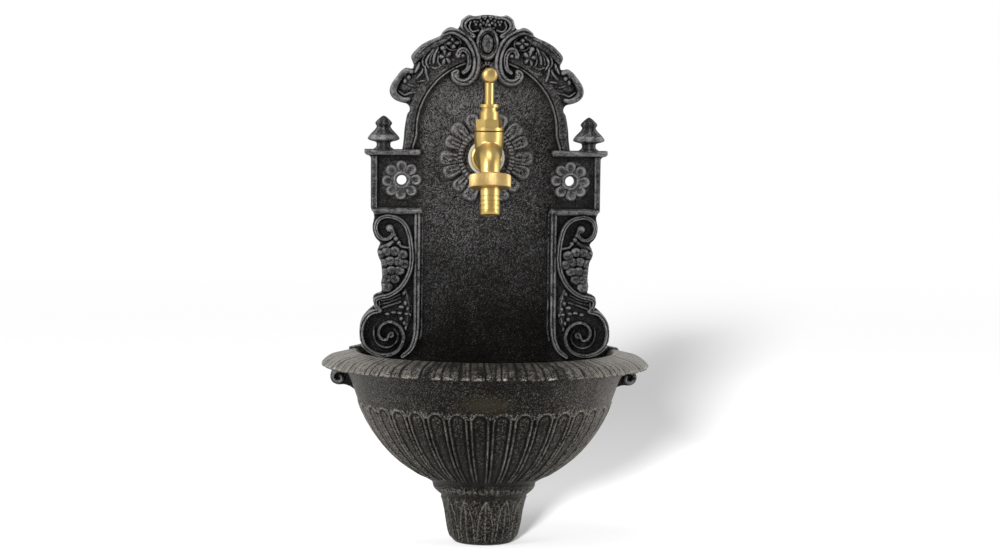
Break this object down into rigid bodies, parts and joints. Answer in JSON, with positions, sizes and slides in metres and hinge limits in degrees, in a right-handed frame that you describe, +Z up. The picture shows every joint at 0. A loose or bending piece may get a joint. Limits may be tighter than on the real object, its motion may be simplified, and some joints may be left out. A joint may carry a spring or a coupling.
{
  "type": "wall fountain with tap",
  "caption": "Ornate cast iron wall fountain: arched back plate with scroll crest and brackets, fluted half-round bowl on a foot, and a brass hose tap with bar handle.",
  "frame": {"origin": "midway between the two wall screw holes, on the wall plane", "axes": "+X right for someone facing it, +Y into the wall, +Z up"},
  "size_m": [0.262, 0.168, 0.4214],
  "materials": {
    "plate_iron": "black, rubbed grey",
    "bowl_iron": "brown black, rubbed",
    "brass": "polished",
    "satin_brass": "satin",
    "rubber": "matt",
    "nylon": "matt",
    "packing": "graphite",
    "steel": "zinc plated"
  },
  "bodies": {
    "fountain": {"back_plate": "plate_iron", "bowl": "bowl_iron", "bowl_bolts": "steel", "bowl_seal_washers": "rubber", "bowl_head_washers": "steel", "bowl_nut_washers": "steel", "bowl_nuts": "steel", "tap_body": "brass", "tap_wall_washer": "nylon", "backnut_washer": "steel", "backnut": "brass", "bonnet": "brass", "bonnet_gasket": "rubber", "gland_packing": "packing", "gland_nut": "brass"},
    "valve": {"jumper": "brass", "jumper_washer": "rubber", "jumper_nut": "brass"},
    "handle": {"spindle": "brass", "handle_bar": "brass", "handle_ball_front": "brass", "handle_ball_rear": "brass"},
    "tail": {"hose_tail": "brass", "union_washer": "rubber"},
    "union": {"union_nut": "satin_brass"}
  },
  "joints": [
    {"name": "valve_lift", "type": "slide", "parent": "fountain", "child": "valve", "axis": [0, 0, 1], "range_m": [0, 0.00605]},
    {"name": "handle_turn", "type": "hinge", "parent": "valve", "child": "handle", "pos_m": [0, -0.05, 0.06], "axis": [0, 0, 1], "range_deg": [0, 990]},
    {"name": "tail_drop", "type": "slide", "parent": "fountain", "child": "tail", "axis": [0, -0.1736, -0.9848], "range_m": [0, 0.00499]},
    {"name": "union_turn", "type": "hinge", "parent": "tail", "child": "union", "pos_m": [0, -0.07237, 0.0005], "axis": [0, -0.1736, -0.9848], "range_deg": [0, 990]}
  ],
  "couplings": [
    {"joint": "valve_lift", "follows": "handle_turn", "m_per_rad": 0.00035014},
    {"joint": "tail_drop", "follows": "union_turn", "m_per_rad": 0.00028871}
  ]
}
